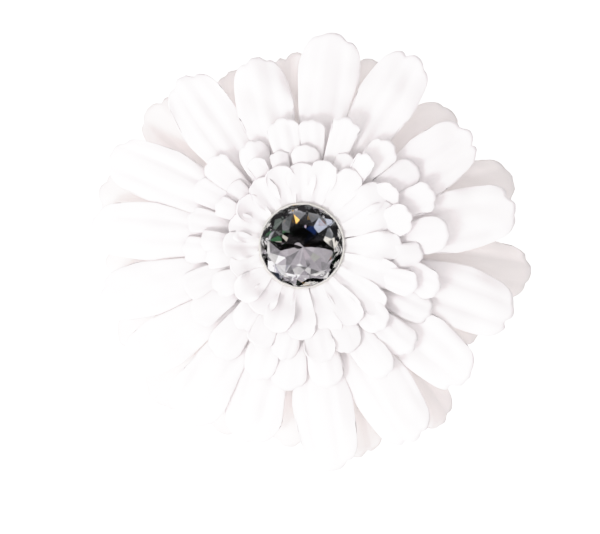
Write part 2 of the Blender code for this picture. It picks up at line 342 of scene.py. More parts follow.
def plastic_finish():
    s = Shader("white plastic")
    s.constant(Specular_IOR_Level=0.45, Coat_Weight=0.05)
    smudge = s.noise(180, 4, 0.6)
    s.color(s.ramp(smudge, [(0.35, (0.83, 0.82, 0.79)), (0.7, (0.9, 0.89, 0.87))]))
    s.roughness(s.ramp(smudge, [(0.3, (0.32,) * 3), (0.7, (0.5,) * 3)]))
    s.normal(s.bump(s.noise(900, 3), 0.1, 0.00005))
    return s.material


def glue_finish():
    s = Shader("set glue")
    s.constant(Transmission_Weight=0.35, IOR=1.48, Specular_IOR_Level=0.5)
    cloudy = s.noise(260, 4, 0.6)
    s.color(s.ramp(cloudy, [(0.3, (0.84, 0.82, 0.76)), (0.75, (0.93, 0.92, 0.88))]))
    s.roughness(s.ramp(cloudy, [(0.3, (0.28,) * 3), (0.7, (0.5,) * 3)]))
    s.normal(s.bump(cloudy, 0.3, 0.0003))
    return s.material


def plated_finish(name, tone, rough):
    """Bright plating with fine draw marks along X and a little rubbing."""
    s = Shader(name)
    s.constant(Metallic=1.0)
    stretched = s.add("ShaderNodeMapping", {"Vector": s.place, "Scale": (60, 2600, 2600)})
    marks = s.noise(1.0, 3, 0.6, stretched.outputs["Vector"])
    rubbed = s.noise(240, 5, 0.65)
    dark = tuple(c * 0.82 for c in tone)
    s.color(s.ramp(rubbed, [(0.3, dark), (0.6, tone)]))
    mixed = s.math("ADD", s.math("MULTIPLY", marks, 0.5), s.math("MULTIPLY", rubbed, 0.5))
    s.roughness(s.ramp(mixed, [(0.3, (rough * 0.75,) * 3), (0.7, (rough * 1.35,) * 3)]))
    s.normal(s.bump(marks, 0.12, 0.00002))
    return s.material


def crystal_finish():
    s = Shader("clear gem")
    s.constant(Transmission_Weight=1.0, IOR=1.52)
    s.color(s.ramp(s.noise(90, 2), [(0.3, (0.965, 0.965, 0.965)), (0.7, (1.0, 0.995, 0.99))]))
    s.roughness(s.ramp(s.noise(700, 4), [(0.3, (0.0,) * 3), (0.8, (0.012,) * 3)]))
    return s.material


def foil_finish():
    s = Shader("mirror foil")
    s.constant(Metallic=1.0)
    haze = s.noise(500, 3)
    s.color(s.ramp(haze, [(0.3, (0.95, 0.95, 0.96)), (0.7, (0.89, 0.89, 0.9))]))
    s.roughness(s.ramp(haze, [(0.3, (0.015,) * 3), (0.7, (0.04,) * 3)]))
    return s.material


# ---------------------------------------------------------------- petals


def ring_of_petals(count, first, reach, shift, rng, spread, uneven):
    """Petals around a ring whose tips lie near a circle set a little to one side of the hub."""
    petals = []
    for i in range(count):
        angle = first + i * 360 / count + rng.uniform(-1, 1) * spread
        turn = math.radians(angle)
        aside = shift[0] * math.cos(turn) + shift[1] * math.sin(turn)
        petals.append((angle, reach + aside + rng.uniform(-1, 1) * uneven))
    return petals


def layer_height(layer, radius):
    past = max(0.0, radius - layer["hub"])
    climb = layer["wall"] * (1 - math.exp(-past / WALL_RUN))
    climb += layer["rise"] * smooth_step(radius, RISE_FROM, RISE_TO)
    return layer["start"] + climb + layer["slope"] * past - layer["bend"] * past * past


def side_room(petals, index):
    """Half the angle to the nearer neighbour, in radians."""
    angle = petals[index][0]
    before = petals[index - 1][0]
    after = petals[(index + 1) % len(petals)][0]
    return math.radians(min((angle - before) % 360, (after - angle) % 360)) / 2


def petal_manner(layer, rng):
    """How one petal differs from its neighbours."""
    loose = layer["loose"]
    return {
        "bend": rng.uniform(-1, 1) * 2.2 * loose,
        "lift": rng.uniform(-1, 1) * 0.9 * loose,
        "roll": rng.uniform(-1, 1) * 0.10 * loose,
        "twist": rng.uniform(-1, 1) * 0.09 * loose,
        "curl": rng.uniform(-0.3, 1.0) * layer["curl"],
        "grooves": [place + rng.uniform(-0.13, 0.13) for place in layer["grooves"]],
        "groove": rng.uniform(0.3, 1.15),
        "wave": rng.uniform(0.5, 1.3) * layer["wave"],
        "phase": rng.uniform(0, math.tau),
        "notches": [
            (rng.uniform(-0.62, -0.25), rng.uniform(0.25, 1.0)),
            (rng.uniform(0.2, 0.62), rng.uniform(0.25, 1.0)),
        ],
        "wide": 1 + rng.uniform(-0.09, 0.06) * loose,
    }


# How wide a notch in the tip and a band of painted shade along a groove are, as shares of half the
# petal's width.
NOTCH_WIDTH = 0.13
CREASE_SHADE_WIDTH = 0.09
# How ragged the cut edge is, as a share of the depth of its lobes.
RAGGED = 0.22
# Where along the petal its root has come free of the hub's arc, and where its taper starts.
ROOT_BLEND = 0.15
TAPER_FROM = 0.7
# How much of its side of the ring a root may fill, and the gap kept between petals.
ROOT_ROOM = 0.97
PETAL_GAP = 0.1


def tip_reach(layer, manner, reach, v):
    """How far out the petal's edge lies on the line v, with its rounded and lobed tip."""
    rounding = layer["round"] * (1 - math.sqrt(max(0.0, 1 - v * v)))
    notch = 0.0
    for place, share in manner["notches"]:
        notch += layer["lobe"] * share * math.exp(-(((v - place) / NOTCH_WIDTH) ** 2))
    wander = noise.noise(Vector((v * 5.0, manner["phase"] * 3.1, 0)))
    ragged = layer["lobe"] * RAGGED * wander
    return reach - rounding - notch + ragged


def petal_width(layer, u):
    root = layer["root_share"]
    half = root + (1 - root) * smooth_step(u, 0.0, layer["full_at"])
    if u > TAPER_FROM:
        half *= 1 - layer["taper"] * ((u - TAPER_FROM) / (1 - TAPER_FROM)) ** 2
    return half * layer["width"] / 2


def petal_relief(layer, manner, u, v, along, across):
    """Height added by the pressed grooves, the veins, the edges and the petal's own set."""
    grown = smooth_step(u, 0.02, 0.3)
    ended = 1 - 0.75 * smooth_step(u, 0.78, 1.0)
    height = 0.0
    for place in manner["grooves"]:
        dip = math.exp(-(((v - place) / layer["groove_width"]) ** 2))
        height -= layer["groove"] * manner["groove"] * dip * grown * ended
    height += layer["camber"] * (1 - v * v) * grown
    vein = math.sin(v * 17 + manner["phase"]) + 0.6 * math.sin(v * 29 + 2 * manner["phase"])
    height += layer["vein"] * vein * grown * ended
    wave = math.sin(u * 9 + manner["phase"]) + 0.6 * math.sin(u * 17 + 1.7 * manner["phase"])
    height += manner["wave"] * wave * v * v * abs(v) * grown
    height += manner["lift"] * u * u + (manner["roll"] + layer["shingle"]) * across * u
    height += manner["twist"] * across * u * u - manner["curl"] * smooth_step(u, 0.6, 1.0) ** 2
    crumple = noise.noise(Vector((along * 0.16, across * 0.22, manner["phase"] * 5)))
    return height + layer["crumple"] * crumple * grown


def crease_shade_share(manner, u, v):
    """How much painted shade the cloth gets: along the grooves near the root, and at the cut edge."""
    folded = 0.0
    for place in manner["grooves"]:
        folded += 0.55 * math.exp(-(((v - place) / CREASE_SHADE_WIDTH) ** 2))
    edge = 0.35 * smooth_step(abs(v), 0.9, 1.0) + 0.35 * smooth_step(u, 0.94, 1.0)
    return min(1.0, folded * (1 - u) + edge)


def petal_place(layer, manner, reach, room, local, u, v):
    """How far along and across its petal a point lies, with the root drawn in to the hub's arc."""
    start = layer["hub"] * math.cos(local)
    along = start + (tip_reach(layer, manner, reach, v) - start) * u
    across = petal_width(layer, u) * manner["wide"] * v
    if layer["kept_apart"]:
        limit = math.tan(room) * along - PETAL_GAP
        across = max(-limit, min(limit, across))
    if u < ROOT_BLEND:
        share = u / ROOT_BLEND
        across = across * share + layer["hub"] * math.sin(local) * (1 - share)
    return along, across


def hub_spokes(layer, petals, spread):
    """The directions of the hub's points, as many for each petal as it has columns of points."""
    spokes = []
    for index, (angle, _) in enumerate(petals):
        root = layer["root_share"] * layer["width"] / 2 / layer["hub"]
        root = min(root, side_room(petals, index) * ROOT_ROOM)
        spokes += [math.radians(angle) + root * v for v in spread]
    return spokes


def sheet_mesh(layer, petals, seed):
    """Points, faces, painted shade shares and flat area of petals fused to a hub with a hole for the
    peg.
    """
    rng = random.Random(seed)
    columns = layer["columns"]
    rows = layer["rows"]
    spread = [math.sin(math.pi / 2 * (2 * j / columns - 1)) for j in range(columns + 1)]
    spokes = hub_spokes(layer, petals, spread)
    total = len(spokes)
    hub_rings = [LAYER_HOLE, 4.5, 7.0, layer["hub"] * 0.93, layer["hub"]]
    points = []
    faces = []
    for radius in hub_rings:
        z = layer_height(layer, radius)
        points += [(radius * math.cos(turn), radius * math.sin(turn), z) for turn in spokes]
    crease_shades = [0.0] * len(points)
    for k in range(len(hub_rings) - 1):
        for i in range(total):
            m = (i + 1) % total
            faces.append((k * total + i, k * total + m, (k + 1) * total + m, (k + 1) * total + i))
    rim = (len(hub_rings) - 1) * total
    flat_area = math.pi * (layer["hub"] ** 2 - LAYER_HOLE**2)
    for index, (angle, reach) in enumerate(petals):
        manner = petal_manner(layer, rng)
        room = side_room(petals, index)
        turn = math.radians(angle)
        first = index * (columns + 1)
        last = [rim + first + j for j in range(columns + 1)]
        for i in range(1, rows + 1):
            u = (i / rows) ** layer["row_power"]
            swing = turn + math.radians(manner["bend"]) * u * u
            this = []
            for j, v in enumerate(spread):
                local = spokes[first + j] - turn
                along, across = petal_place(layer, manner, reach, room, local, u, v)
                z = layer_height(layer, math.hypot(along, across))
                z += petal_relief(layer, manner, u, v, along, across)
                x = along * math.cos(swing) - across * math.sin(swing)
                y = along * math.sin(swing) + across * math.cos(swing)
                this.append(len(points))
                points.append((x, y, z))
                crease_shades.append(crease_shade_share(manner, u, v))
            for j in range(columns):
                faces.append((last[j], last[j + 1], this[j + 1], this[j]))
            last = this
        flat_area += layer["width"] * manner["wide"] * (reach - layer["hub"]) * layer["fullness"]
    return points, faces, crease_shades, flat_area


def petal_layer(name, petals, seed, finish):
    """One die-cut sheet of petals, pressed and puffed, which replaces its plain solid."""
    points, faces, crease_shades, flat_area = sheet_mesh(LAYERS[name], petals, seed)
    shown = name.replace("petals", "cloth")
    mesh = bpy.data.meshes.new(shown)
    mesh.from_pydata([Vector(p) * MM for p in points], [], faces)
    mesh.polygons.foreach_set("use_smooth", [True] * len(mesh.polygons))
    # The painted shade share of each point, which the cloth finish reads.
    attribute = mesh.attributes.new("crease_shade", "FLOAT", "POINT")
    attribute.data.foreach_set("value", crease_shades)
    mesh.materials.append(finish)
    piece = bpy.data.objects.new(shown, mesh)
    bpy.context.scene.collection.objects.link(piece)
    thick = piece.modifiers.new("cloth thickness", "SOLIDIFY")
    thick.thickness = CLOTH * MM
    thick.offset = 0
    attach(piece, "flower")
    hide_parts(name)


# How the outer layers' long petals are made. Widths and heights are in millimetres, "width" is
# the whole petal's, and places across a petal run from -1 to 1.
LONG = {
    "wall": 0.0,
    "rise": 0.0,
    "hub": OUTER_HUB,
    "width": 13.9,
    "root_share": 0.26,
    "full_at": 0.62,
    "taper": 0.10,
    "round": 6.0,
    "lobe": 1.2,
    "grooves": (-0.36, 0.36),
    "groove_width": 0.15,
    "groove": 0.85,
    "camber": 0.9,
    "vein": 0.05,
    "wave": 0.4,
    "crumple": 0.75,
    "curl": 1.1,
    "loose": 1.0,
    "rows": 34,
    "columns": 26,
    "row_power": 1.0,
    "fullness": 0.80,
    "kept_apart": True,
    "shingle": 0.0,
}
SHORT = {
    **LONG,
    "width": 8.6,
    "root_share": 0.36,
    "full_at": 0.6,
    "round": 3.4,
    "lobe": 0.7,
    "groove": 0.4,
    "camber": 0.5,
    "vein": 0.02,
    "wave": 0.3,
    "crumple": 0.6,
    "loose": 1.25,
    "rows": 22,
    "columns": 18,
    "fullness": 0.82,
}
LAYERS = {
    "petals_outer_back": {**LONG, "start": 13.7, "slope": 0.16, "bend": 0.0088},
    "petals_outer_front": {**LONG, "start": 14.4, "wall": 1.0, "slope": 0.20, "bend": 0.0052},
    "petals_middle_lower": {**SHORT, "start": 15.1, "wall": 1.6, "slope": 0.34, "bend": 0.0068},
    "petals_middle_upper": {
        **SHORT,
        "start": 15.8,
        "wall": 2.0,
        "slope": 0.50,
        "bend": 0.0125,
        "width": 7.4,
        "round": 3.0,
        "groove": 0.25,
    },
    "petals_inner_cup": {
        **SHORT,
        "start": 16.5,
        "slope": 0.03,
        "bend": 0.0,
        "wall": 3.7,
        "rise": 2.2,
        "hub": CUP_HUB,
        "width": 6.9,
        "taper": 0.15,
        "root_share": 0.4,
        "full_at": 0.95,
        "round": 2.2,
        "lobe": 0.3,
        "grooves": (0.0,),
        "groove_width": 0.3,
        "groove": 0.35,
        "camber": -0.4,
        "crumple": 0.4,
        "loose": 0.7,
        "rows": 32,
        "row_power": 1.2,
        "kept_apart": False,
        "shingle": 0.05,
    },
}


def build_petals(front_finish, back_finish_painted_shade):
    rng = random.Random(11)
    rings = {
        "petals_outer_back": BACK_PETALS,
        "petals_outer_front": FRONT_PETALS,
        "petals_middle_lower": ring_of_petals(22, 3, 30.8, (2.6, -2.0), rng, 3.0, 1.3),
        "petals_middle_upper": ring_of_petals(20, 12, 24.4, (2.0, -1.6), rng, 3.2, 1.2),
        "petals_inner_cup": ring_of_petals(20, 0.5, 20.0, (2.8, -0.6), rng, 1.2, 0.8),
    }
    for seed, (name, petals) in enumerate(rings.items()):
        # The back layer takes the copy of the cloth with painted shade.
        finish = back_finish_painted_shade if name == "petals_outer_back" else front_finish
        petal_layer(name, petals, seed + 21, finish)


# ---------------------------------------------------------------- crystal

GEM_TURN = 14.0
CULET = 18.7
PAVILION = 2.2
GIRDLE = 0.5
CROWN = 2.1
GEM_RADIUS = 9.35
TABLE_RADIUS = 5.0
BEZEL_RADIUS = 7.6
BEZEL_SHARE = 0.48
FOIL_RADIUS = 9.15
FOIL_GAP = 0.1
FOIL_THICKNESS = 0.15
INNER_FACETS = 3.6
OUTER_FACETS = 6.6
STAR = 8
AROUND = 2 * STAR
GIRDLE_STEPS = 48


def ring_points(count, radius, z, shift=0.0):
    """Points on a level circle, starting at the gem's own turn plus a share of a step."""
    ring = []
    for i in range(count):
        turn = math.radians(GEM_TURN) + math.tau * (i + shift) / count
        ring.append((radius * math.cos(turn), radius * math.sin(turn), z))
    return ring


def back_height(radius):
    """Height of the foil's mirror face, which follows the gem's pointed back."""
    return CULET + PAVILION * radius / GEM_RADIUS - FOIL_GAP


def jogged(ring, sideways, down, rng):
    """The ring's points moved a little, so that no two facets face the same way."""
    moved = []
    for x, y, z in ring:
        aside = (rng.uniform(-sideways, sideways), rng.uniform(-sideways, sideways))
        moved.append((x + aside[0], y + aside[1], z - rng.uniform(0, down)))
    return moved


def build_gem(clear):
    """The cut stone, which lets light through to the cloth round it, as glass does."""
    low = CULET + PAVILION
    high = low + GIRDLE
    points = [(0, 0, CULET)]
    points += ring_points(AROUND, GEM_RADIUS - 0.15, low)
    points += ring_points(GIRDLE_STEPS, GEM_RADIUS, low + 0.15)
    points += ring_points(GIRDLE_STEPS, GEM_RADIUS, high - 0.1)
    points += ring_points(AROUND, GEM_RADIUS - 0.12, high)
    points += ring_points(STAR, BEZEL_RADIUS, high + CROWN * BEZEL_SHARE, 0.5)
    points += ring_points(STAR, TABLE_RADIUS, high + CROWN)
    bm = bmesh.new()
    for point in points:
        bm.verts.new(Vector(point) * MM)
    bmesh.ops.convex_hull(bm, input=bm.verts)
    bmesh.ops.dissolve_limit(bm, angle_limit=0.01, verts=bm.verts, edges=bm.edges)
    mesh = bpy.data.meshes.new("crystal")
    bm.to_mesh(mesh)
    bm.free()
    mesh.materials.append(clear)
    gem = bpy.data.objects.new("crystal", mesh)
    bpy.context.scene.collection.objects.link(gem)
    gem.visible_diffuse = False
    gem.visible_shadow = False
    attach(gem, "flower")
    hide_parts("gem")


def build_foil(foil):
    """The mirror coat behind the gem, pressed in three rings of facets."""
    rng = random.Random(5)
    inner = ring_points(STAR, INNER_FACETS, back_height(INNER_FACETS), 0.5)
    outer = ring_points(AROUND, OUTER_FACETS, back_height(OUTER_FACETS))
    top = [(0.5, -0.4, back_height(0.6))]
    top += jogged(inner, 0.45, 0.22, rng)
    outside = len(top)
    top += jogged(outer, 0.35, 0.14, rng)
    rim = len(top)
    top += ring_points(AROUND, FOIL_RADIUS, back_height(FOIL_RADIUS))
    faces = []
    for k in range(STAR):
        here = 1 + k
        before = 1 + (k - 1) % STAR
        first, second, third = (outside + (2 * k + step) % AROUND for step in range(3))
        faces.append((0, before, here))
        faces.append((before, first, here))
        faces.append((here, first, second))
        faces.append((here, second, third))
    for k in range(AROUND):
        after = (k + 1) % AROUND
        faces.append((outside + k, rim + k, rim + after))
        faces.append((outside + k, rim + after, outside + after))
    count = len(top)
    bottom = [(x, y, z - FOIL_THICKNESS) for x, y, z in top]
    faces += [tuple(i + count for i in reversed(face)) for face in faces]
    for k in range(AROUND):
        after = (k + 1) % AROUND
        faces.append((rim + k, rim + k + count, rim + after + count, rim + after))
    coat = piece_from(
        "mirror_foil_coat", top + bottom, faces, "flower", foil, smooth=False
    )
    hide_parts("gem_foil")
    coat.visible_diffuse = False


def build_gem_glue(glue):
    """The pad of glue under the foil, with the bead that squeezed out round the gem."""
    profile = [
        (0.01, back_height(0) - 0.45),
        (6.0, back_height(6.0) - 0.45),
        (9.1, back_height(9.1) - 0.25),
        (9.38, 20.75),
        (9.52, 20.8),
        (9.66, 20.7),
        (9.75, 20.45),
        (9.75, 20.1),
        (9.4, 19.95),
        (8.6, 19.7),
        (7.6, 18.2),
        (6.4, 17.65),
        (0.01, 17.65),
    ]
    points, faces = lathe(profile, 128)
    shaped = []
    for x, y, z in points:
        radius = math.hypot(x, y)
        swell = smooth_step(radius, 9.3, 10.2)
        ripple = noise.noise(Vector((x * 0.35, y * 0.35, 8))) * 0.5
        scale = 1 + 0.4 * swell * ripple / max(radius, 1)
        shaped.append((x * scale, y * scale, z + 0.1 * swell * ripple))
    bead = piece_from("gem_glue_bead", shaped, faces, "flower", glue)
    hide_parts("gem_glue")


# ---------------------------------------------------------------- clip

PIVOT_X = -9.0
PIVOT_Z = 5.9
SHEET_METAL = 0.7
PLATE_UNDERSIDE = 8.1
CLAMP_STEP = 0.1
WIRE_RADIUS = 0.35
COIL_RADIUS = 1.55
COIL_TURNS = 3.5
COIL_PITCH = 0.875
COIL_STEPS = 24
LEG_SIDE = 1.53
LEG_END = -18.0
PLATE_HALF_WIDTH = 4.0
JAW_HALF_WIDTH = 3.0
EAR_THICKNESS = 0.7
CHEEK_THICKNESS = 0.6
TEETH = 5
TOOTH_PITCH = 1.6
TOOTH_DEPTH = 1.1
TOOTH_TOP = PLATE_UNDERSIDE - 0.3
JAW_TIP = 24.0
BEND_STEPS = 6
EDGE_RADIUS = 0.16


def strip(stations, thickness):
    """A pressed metal strip from stations of (x, underside z, half width), with rounded edges."""
    dense = []
    for i in range(len(stations) - 1):
        for k in range(BEND_STEPS):
            share = k / BEND_STEPS
            dense.append(tuple(a + (b - a) * share for a, b in zip(stations[i], stations[i + 1])))
    dense.append(stations[-1])
    points = []
    for i, (x, z, half) in enumerate(dense):
        before = dense[max(0, i - 1)]
        after = dense[min(len(dense) - 1, i + 1)]
        slope = math.atan2(after[1] - before[1], after[0] - before[0])
        up = (-math.sin(slope), math.cos(slope))
        section = []
        for corner_y, corner_t, first in ((1, 1, 0), (-1, 1, 90), (-1, 0, 180), (1, 0, 270)):
            for k in range(4):
                turn = math.radians(first + 30 * k)
                y = corner_y * (half - EDGE_RADIUS) + EDGE_RADIUS * math.cos(turn)
                middle = thickness - EDGE_RADIUS if corner_t else EDGE_RADIUS
                section.append((y, middle + EDGE_RADIUS * math.sin(turn)))
        for y, t in section:
            points.append((x + up[0] * t, y, z + up[1] * t))
    return points, skin(len(dense), len(points) // len(dense))


def plate_of(outline, low, high):
    """A flat cheek standing in the XZ plane between two values of y."""
    count = len(outline)
    points = [(x, low, z) for x, z in outline] + [(x, high, z) for x, z in outline]
    faces = [tuple(range(count)), tuple(reversed(range(count, 2 * count)))]
    for i in range(count):
        j = (i + 1) % count
        faces.append((i, i + count, j + count, j))
    return points, faces


def arc(center, radius, first, last, steps):
    points = []
    for i in range(steps + 1):
        turn = math.radians(first + (last - first) * i / steps)
        points.append((center[0] + radius * math.cos(turn), center[1] + radius * math.sin(turn)))
    return points


def build_top_plate(metal):
    """The flat plate that the flower is glued to, with the two ears that hold the pin."""
    wide = PLATE_HALF_WIDTH
    level = PLATE_UNDERSIDE
    step = PLATE_UNDERSIDE + CLAMP_STEP
    plate = [
        (-22.5, level, 1.6),
        (-22.2, level, 2.4),
        (-21.5, level, 3.3),
        (-20.3, level, wide),
        (-3.0, level, wide),
        (-2.5, step, wide),
        (13.0, step, wide),
        (13.5, level, wide),
        (21.0, level, wide),
        (22.8, level, 3.5),
        (24.2, level, 2.5),
        (25.0, level, 1.4),
    ]
    parts = [strip(plate, SHEET_METAL)]
    ear = [(-5.0, 8.45), (-13.0, 8.45), (-13.0, 7.0)]
    ear += arc((PIVOT_X, PIVOT_Z), 2.4, 190, 350, 14) + [(-5.0, 7.0)]
    parts.append(plate_of(ear, wide - EAR_THICKNESS, wide))
    parts.append(plate_of(ear, -wide, EAR_THICKNESS - wide))
    points, faces = join_parts(parts)
    top = piece_from("clip_top", points, faces, "flower", metal, smooth=False)
    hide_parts("clip_top_plate")
    add_bevel(top, 0.12)


def build_jaw(metal):
    """The bent strip that swings: lever, cheeks round the pin, flat middle and toothed rails."""
    wide = JAW_HALF_WIDTH
    jaw = [
        (-22.5, 0.0, 2.0),
        (-21.8, 0.2, 3.0),
        (-20.5, 0.55, 3.6),
        (-16.0, 1.85, 3.6),
        (-14.5, 2.3, wide),
        (-12.0, 3.0, wide),
        (-7.0, 3.0, wide),
        (-3.0, 0.0, wide),
        (12.0, 0.0, wide),
        (JAW_TIP, 5.4, wide),
        (24.7, 5.6, 2.5),
    ]
    parts = [strip(jaw, SHEET_METAL)]
    cheek = [(-11.8, 3.3), (-7.1, 3.3)] + arc((PIVOT_X, PIVOT_Z), 1.85, -10, 190, 16)
    rail = [(15.2, 1.9), (JAW_TIP, 5.7)]
    for tooth in range(TEETH):
        right = JAW_TIP - TOOTH_PITCH * tooth
        rail.append((right, TOOTH_TOP - TOOTH_DEPTH * (tooth > 0)))
        rail += [(right - 0.45, TOOTH_TOP), (right - 1.0, TOOTH_TOP)]
        rail.append((right - TOOTH_PITCH, TOOTH_TOP - TOOTH_DEPTH))
    for side in (-1, 1):
        low, high = sorted((side * (wide - CHEEK_THICKNESS), side * wide))
        parts.append(plate_of(cheek, low, high))
        parts.append(plate_of(rail, low, high))
    points, faces = join_parts(parts)
    lower = piece_from("clip_jaw", points, faces, "jaw", metal, smooth=False)
    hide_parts("clip_lower_jaw")
    add_bevel(lower, 0.1)


def build_pin(metal):
    """The pivot pin: a turned rod along Y with a low head at each end."""
    half = [(0, 4.85), (0.7, 4.8), (1.2, 4.62), (1.45, 4.4), (1.45, 4.3), (0.8, 4.3)]
    profile = half + [(r, -y) for r, y in reversed(half)]
    points, faces = lathe(profile, 32)
    points = [(PIVOT_X + x, z, PIVOT_Z + y) for x, y, z in points]
    pin = piece_from("clip_pin", points, faces, "flower", metal)
    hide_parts("clip_pivot_pin")


def build_spring(wire):
    """The coil with its leg along the plate, and the other leg, which rides on the lever."""
    coil = [(LEG_END, -LEG_SIDE, 7.45), (-13.0, -LEG_SIDE, 7.45)]
    for i in range(int(COIL_TURNS * COIL_STEPS) + 1):
        turn = math.pi / 2 - math.tau * i / COIL_STEPS
        y = -COIL_TURNS * COIL_PITCH / 2 + COIL_PITCH * i / COIL_STEPS
        x = PIVOT_X + COIL_RADIUS * math.cos(turn)
        coil.append((x, y, PIVOT_Z + COIL_RADIUS * math.sin(turn)))
    points, faces = tube(coil, WIRE_RADIUS)
    spring = piece_from("spring_coil", points, faces, "flower", wire)
    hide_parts("clip_spring")
    foot = [
        (PIVOT_X - 0.1, LEG_SIDE, PIVOT_Z - COIL_RADIUS),
        (-11.6, LEG_SIDE, 4.35),
        (-14.6, LEG_SIDE, 3.55),
        (LEG_END, LEG_SIDE, 2.55),
    ]
    points, faces = tube(foot, WIRE_RADIUS)
    piece_from("spring_lever_leg", points, faces, "jaw", wire)


# ---------------------------------------------------------------- backing


FELT_RADIUS = 17.0
FELT_FOOT = 9.8
BED_END = 11.0
BED_RADIUS = 3.2


def build_felt(felt):
    """The pressed disc behind the flower, with a fluffy cut edge."""
    profile = [(0, 0), (6, 0), (12, 0), (16.3, 0.02), (16.8, 0.25), (FELT_RADIUS, 0.6)]
    profile += [(16.8, 0.95), (16.3, 1.18), (12, 1.2), (6, 1.2), (0, 1.2)]
    points, faces = lathe([(max(r, 0.01), z + FELT_FOOT) for r, z in profile], 144)
    rough = []
    for x, y, z in points:
        radius = math.hypot(x, y)
        away = smooth_step(radius, 12, FELT_RADIUS)
        wobble = noise.noise(Vector((x * 0.5, y * 0.5, z))) * 0.35 * away
        wobble += noise.noise(Vector((x * 2.2, y * 2.2, z))) * 0.14 * away
        scale = 1 + wobble / max(radius, 1)
        fluff = 0.05 * noise.noise(Vector((x * 1.5, y * 1.5, z * 3)))
        rough.append((x * scale, y * scale, z + fluff))
    disc = piece_from("felt_backing", rough, faces, "flower", felt)
    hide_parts("felt_disc")


def build_felt_glue(glue):
    """The squeezed blob between the cap and the felt."""
    profile = [(0.01, 11.25), (6.2, 11.25), (6.8, 11.4), (6.9, 11.55), (6.3, 11.78), (0.01, 11.78)]
    points, faces = lathe(profile, 64)
    blob = []
    for x, y, z in points:
        scale = 1 + 0.05 * noise.noise(Vector((x * 0.3, y * 0.3, 2)))
        blob.append((x * scale, y * scale, z))
    bead = piece_from("felt_glue_bead", blob, faces, "flower", glue)
    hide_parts("felt_glue")


def build_clip_glue(glue):
    """The bed between the felt and the clip, with round ends and an uneven edge."""
    outline = arc((BED_END, 0), BED_RADIUS, -90, 90, 16) + arc((-BED_END, 0), BED_RADIUS, 90, 270, 16)
    rings = [(0.9, 9.0), (1.0, 9.15), (1.05, 9.35), (0.97, 9.6)]
    points = []
    for scale, z in rings:
        for x, y in outline:
            ripple = 1 + 0.1 * noise.noise(Vector((x * 0.4, y * 0.4, 5)))
            core = max(-BED_END, min(BED_END, x))
            points.append((core + (x - core) * scale * ripple, y * scale * ripple, z))
    faces = skin(len(rings), len(outline))
    bead = piece_from("clip_glue_bead", points, faces, "flower", glue)
    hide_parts("clip_glue")


def build_cap(plastic):
    """The cap pressed on the peg from behind."""
    profile = [(2.0, 12.05), (7.2, 12.05), (7.5, 12.3), (7.5, 12.9), (7.2, 13.2), (2.0, 13.2)]
    points, faces = lathe(profile, 64)
    cap = piece_from("peg_cap", points, faces, "flower", plastic, smooth=False)
    add_bevel(cap, 0.1)
    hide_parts("back_cap")


def finish_peg(plastic):
    """The peg keeps its plain solid, because the layers and the gem hide it, and gets a finish."""
    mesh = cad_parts["centre_peg"].data
    mesh.materials.clear()
    mesh.materials.append(plastic)


# ---------------------------------------------------------------- surroundings

# The value that the tone curve shows as pure white.
BRIGHTEST = 1.25
# The key light: its heading in degrees from +X, degrees down from overhead, and metres away.
KEY_HEADING = 218
KEY_DOWN = 40
KEY_AWAY = 0.32
# The soft light: how much of it leans to the key's side, comes from overhead, and is everywhere.
LEAN = 0.6
OVERHEAD = 0.7
HORIZON = 0.6
SOFT_LEVEL = 1.06
# The mirrored room's edges: how far back it stops being black, how low it turns pale, and how
# far forward the pale band turns gloomy.
BACK_FROM = 0.13
LOW_FROM = 0.4
GLOOM_FROM = -0.1
# The floor lies just under the jaw's tip as it is when the jaw is fully open. Its reach is in metres.
FLOOR_LEVEL = -10.5
FLOOR_REACH = 3

# What stands round the flower for shiny things to mirror. Each card is seen towards a heading
# in degrees from +X, so many degrees down from overhead, and is round with the radius given.
CARDS = [
    (318, 58, 8, (0.13, 0.16, 0.14)),
    (323, 54, 1.8, (0.7, 0.72, 0.66)),
    (336, 54, 4, (0.05, 0.16, 0.07)),
    (348, 59, 4, (0.05, 0.16, 0.07)),
    (352, 50, 3, (0.72, 0.67, 0.6)),
    (281, 61, 5, (1.8, 1.05, 0.28)),
    (264, 47, 3.5, (0.7, 0.58, 0.72)),
    (251, 45, 1.8, (0.6, 0.1, 0.05)),
    (232, 42, 6.5, (0.012, 0.026, 0.10)),
    (229, 54, 5, (0.45, 0.6, 0.95)),
    (226, 65, 8, (0.66, 0.7, 0.82)),
    (194, 41, 2.5, (1.2, 1.15, 1.05)),
    (187, 64, 8, (1.05, 1.0, 0.92)),
    (172, 48, 3, (0.6, 0.16, 0.06)),
    (174, 35, 5, (0.34, 0.3, 0.33)),
    (148, 41, 4, (0.5, 0.5, 0.46)),
    (136, 49, 6, (0.2, 0.2, 0.22)),
    (112, 39, 5, (0.60, 0.53, 0.58)),
    (116, 45, 3, (0.05, 0.05, 0.05)),
    (97, 36, 3, (0.28, 0.25, 0.27)),
    (15, 31, 7, (0.52, 0.48, 0.51)),
    (43, 56, 6, (0.6, 0.57, 0.64)),
    (35, 65, 6, (1.3, 1.28, 1.3)),
    (60, 66, 5, (1.3, 1.28, 1.3)),
    (78, 56, 4, (1.2, 1.18, 1.2)),
    (91, 57, 4, (1.2, 1.2, 1.2)),
    (83, 63, 2.5, (0.02, 0.025, 0.02)),
    (104, 61, 5, (0.12, 0.12, 0.12)),
]


def toward(heading, down):
    """The direction with a heading in degrees from +X, so many degrees down from overhead."""
    turn = math.radians(heading)
    flat = math.sin(math.radians(down))
    return Vector((flat * math.cos(turn), flat * math.sin(turn), math.cos(math.radians(down))))


